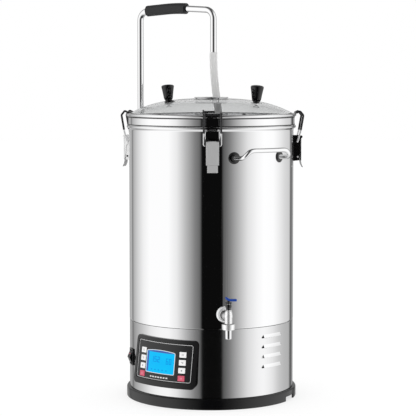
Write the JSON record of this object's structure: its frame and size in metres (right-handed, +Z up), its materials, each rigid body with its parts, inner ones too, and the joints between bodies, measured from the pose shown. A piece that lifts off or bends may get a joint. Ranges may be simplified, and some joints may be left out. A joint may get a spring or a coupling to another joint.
{
  "type": "electric all-in-one brewer",
  "caption": "Free-standing electric brewing kettle with a glass lid, swivel recirculation arm, toggle latches, carrying handles, a drain tap and a tilted control panel.",
  "frame": {"origin": "centre of the base plate's underside, on the vessel's axis", "axes": "+Z up along the vessel's axis; -Y is the front, where the front latch stands; +X to the right as seen from the front"},
  "size_m": [0.3588, 0.4082, 0.7666],
  "materials": {
    "polished_steel": "polished stainless steel",
    "brushed_steel": "horizontally brushed stainless steel",
    "inner_steel": "satin stainless steel",
    "painted_plate": "dark painted metal",
    "bright_fittings": "bright nickel plating",
    "black_plastic": "fine-grained black plastic",
    "grip_rubber": "soft black foam rubber",
    "faceplate": "satin black film with a pale border",
    "lcd": "backlit blue window",
    "white_buttons": "white membrane caps",
    "red_buttons": "red membrane caps",
    "blue_levers": "blue dipped vinyl",
    "lid_glass": "clear tempered glass",
    "silicone": "translucent silicone",
    "board": "green circuit board"
  },
  "bodies": {
    "kettle": {"base_plate": "painted_plate", "base_ring": "black_plastic", "base_shell": "brushed_steel", "control_board": "board", "control_faceplate": "faceplate", "controller_housing": "black_plastic", "handle_front": "bright_fittings", "handle_rear": "bright_fittings", "heating_plate": "painted_plate", "kettle_vessel": "polished_steel", "latch_back_bracket": "bright_fittings", "latch_front_bracket": "bright_fittings", "latch_left_bracket": "bright_fittings", "latch_right_bracket": "bright_fittings", "lcd_screen": "lcd", "malt_pipe": "inner_steel", "malt_pipe_screen": "inner_steel", "pipe_coupling_nut": "bright_fittings", "power_inlet": "black_plastic", "pump_housing": "black_plastic", "pump_inlet_pipe": "inner_steel", "pump_motor": "painted_plate", "pump_outlet_pipe": "inner_steel", "recirculation_riser": "bright_fittings", "recirculation_valve": "bright_fittings", "switch_frame": "black_plastic", "tap_body": "bright_fittings", "tap_flange": "bright_fittings", "tap_hose_nut": "bright_fittings", "tap_lock_nut": "bright_fittings", "tap_spout": "bright_fittings", "temperature_probe": "inner_steel"},
    "lid": {"glass_lid": "lid_glass", "lid_rim_band": "polished_steel", "lid_collar": "polished_steel", "lid_knob_left": "black_plastic", "lid_knob_right": "black_plastic"},
    "arm": {"recirculation_pipe": "bright_fittings", "pipe_grip": "grip_rubber", "recirculation_hose": "silicone"},
    "tap_lever": {"tap_lever": "blue_levers"},
    "recirculation_valve_lever": {"recirculation_valve_lever": "blue_levers"},
    "power_rocker": {"power_rocker": "black_plastic"},
    "pump_impeller": {"pump_impeller": "white_buttons"},
    "latch_front_lever": {"latch_front_lever": "bright_fittings"},
    "latch_front_bail": {"latch_front_bail": "bright_fittings"},
    "latch_right_lever": {"latch_right_lever": "bright_fittings"},
    "latch_right_bail": {"latch_right_bail": "bright_fittings"},
    "latch_back_lever": {"latch_back_lever": "bright_fittings"},
    "latch_back_bail": {"latch_back_bail": "bright_fittings"},
    "latch_left_lever": {"latch_left_lever": "bright_fittings"},
    "latch_left_bail": {"latch_left_bail": "bright_fittings"},
    "button_left_1": {"button_left_1": "white_buttons"},
    "button_left_2": {"button_left_2": "white_buttons"},
    "button_left_3": {"button_left_3": "white_buttons"},
    "button_left_4": {"button_left_4": "red_buttons"},
    "button_right_1": {"button_right_1": "white_buttons"},
    "button_right_2": {"button_right_2": "white_buttons"},
    "button_right_3": {"button_right_3": "white_buttons"},
    "button_right_4": {"button_right_4": "red_buttons"}
  },
  "joints": [
    {"name": "lid_lift", "type": "slide", "parent": "kettle", "child": "lid", "axis": [0, 0, 1], "range_m": [0, 0.075]},
    {"name": "latch_front_lever_hinge", "type": "hinge", "parent": "kettle", "child": "latch_front_lever", "pos_m": [0.00183, -0.17499, 0.505], "axis": [-0.9999, -0.0105, 0], "range_deg": [0, 60]},
    {"name": "latch_front_bail_hinge", "type": "hinge", "parent": "latch_front_lever", "child": "latch_front_bail", "pos_m": [0.00175, -0.16699, 0.495], "axis": [0.9999, 0.0105, 0], "range_deg": [0, 170]},
    {"name": "latch_right_lever_hinge", "type": "hinge", "parent": "kettle", "child": "latch_right_lever", "pos_m": [0.17457, 0.01221, 0.505], "axis": [0.0698, -0.9976, 0], "range_deg": [0, 60]},
    {"name": "latch_right_bail_hinge", "type": "hinge", "parent": "latch_right_lever", "child": "latch_right_bail", "pos_m": [0.16659, 0.01165, 0.495], "axis": [-0.0698, 0.9976, 0], "range_deg": [0, 170]},
    {"name": "latch_back_lever_hinge", "type": "hinge", "parent": "kettle", "child": "latch_back_lever", "pos_m": [0, 0.175, 0.505], "axis": [1, 0, 0], "range_deg": [0, 60]},
    {"name": "latch_back_bail_hinge", "type": "hinge", "parent": "latch_back_lever", "child": "latch_back_bail", "pos_m": [0, 0.167, 0.495], "axis": [-1, 0, 0], "range_deg": [0, 170]},
    {"name": "latch_left_lever_hinge", "type": "hinge", "parent": "kettle", "child": "latch_left_lever", "pos_m": [-0.16904, 0.04529, 0.505], "axis": [0.2588, 0.9659, 0], "range_deg": [0, 60]},
    {"name": "latch_left_bail_hinge", "type": "hinge", "parent": "latch_left_lever", "child": "latch_left_bail", "pos_m": [-0.16131, 0.04322, 0.495], "axis": [-0.2588, -0.9659, 0], "range_deg": [0, 170]},
    {"name": "arm_swivel", "type": "hinge", "parent": "kettle", "child": "arm", "pos_m": [-0.14169, 0.09995, 0.416], "axis": [0, 0, 1], "range_deg": [0, 95], "deforming": ["recirculation_hose"]},
    {"name": "tap_lever_turn", "type": "hinge", "parent": "kettle", "child": "tap_lever", "pos_m": [0.0311, -0.20566, 0.2064], "axis": [0, 0, -1], "range_deg": [0, 90]},
    {"name": "recirculation_valve_turn", "type": "hinge", "parent": "kettle", "child": "recirculation_valve_lever", "pos_m": [-0.15232, 0.10745, 0.143], "axis": [-0.8171, 0.5764, 0], "range_deg": [0, 90]},
    {"name": "power_switch_rock", "type": "hinge", "parent": "kettle", "child": "power_rocker", "pos_m": [-0.15082, -0.04325, 0.081], "axis": [0.2756, -0.9613, 0], "range_deg": [0, 12]},
    {"name": "pump_impeller_spin", "type": "hinge", "parent": "kettle", "child": "pump_impeller", "pos_m": [-0.08171, 0.05764, 0.099], "axis": [0, 0, 1], "continuous": true},
    {"name": "button_left_1_press", "type": "slide", "parent": "kettle", "child": "button_left_1", "axis": [0.7599, 0.6342, -0.143], "range_m": [0, 0.001], "stiffness_N_per_m": 400, "springref_m": -0.0005},
    {"name": "button_left_2_press", "type": "slide", "parent": "kettle", "child": "button_left_2", "axis": [0.7576, 0.6369, -0.143], "range_m": [0, 0.001], "stiffness_N_per_m": 400, "springref_m": -0.0005},
    {"name": "button_left_3_press", "type": "slide", "parent": "kettle", "child": "button_left_3", "axis": [0.7554, 0.6395, -0.143], "range_m": [0, 0.001], "stiffness_N_per_m": 400, "springref_m": -0.0005},
    {"name": "button_left_4_press", "type": "slide", "parent": "kettle", "child": "button_left_4", "axis": [0.7533, 0.642, -0.143], "range_m": [0, 0.001], "stiffness_N_per_m": 400, "springref_m": -0.0005},
    {"name": "button_right_1_press", "type": "slide", "parent": "kettle", "child": "button_right_1", "axis": [0.3183, 0.9371, -0.143], "range_m": [0, 0.001], "stiffness_N_per_m": 400, "springref_m": -0.0005},
    {"name": "button_right_2_press", "type": "slide", "parent": "kettle", "child": "button_right_2", "axis": [0.3215, 0.9361, -0.143], "range_m": [0, 0.001], "stiffness_N_per_m": 400, "springref_m": -0.0005},
    {"name": "button_right_3_press", "type": "slide", "parent": "kettle", "child": "button_right_3", "axis": [0.3245, 0.935, -0.143], "range_m": [0, 0.001], "stiffness_N_per_m": 400, "springref_m": -0.0005},
    {"name": "button_right_4_press", "type": "slide", "parent": "kettle", "child": "button_right_4", "axis": [0.3274, 0.934, -0.143], "range_m": [0, 0.001], "stiffness_N_per_m": 400, "springref_m": -0.0005}
  ],
  "couplings": [
    {"joint": "latch_front_lever_hinge", "follows": "lid_lift", "rad_per_m": 13.963},
    {"joint": "latch_front_bail_hinge", "follows": "lid_lift", "rad_per_m": 39.561},
    {"joint": "latch_right_lever_hinge", "follows": "lid_lift", "rad_per_m": 13.963},
    {"joint": "latch_right_bail_hinge", "follows": "lid_lift", "rad_per_m": 39.561},
    {"joint": "latch_back_lever_hinge", "follows": "lid_lift", "rad_per_m": 13.963},
    {"joint": "latch_back_bail_hinge", "follows": "lid_lift", "rad_per_m": 39.561},
    {"joint": "latch_left_lever_hinge", "follows": "lid_lift", "rad_per_m": 13.963},
    {"joint": "latch_left_bail_hinge", "follows": "lid_lift", "rad_per_m": 39.561}
  ]
}
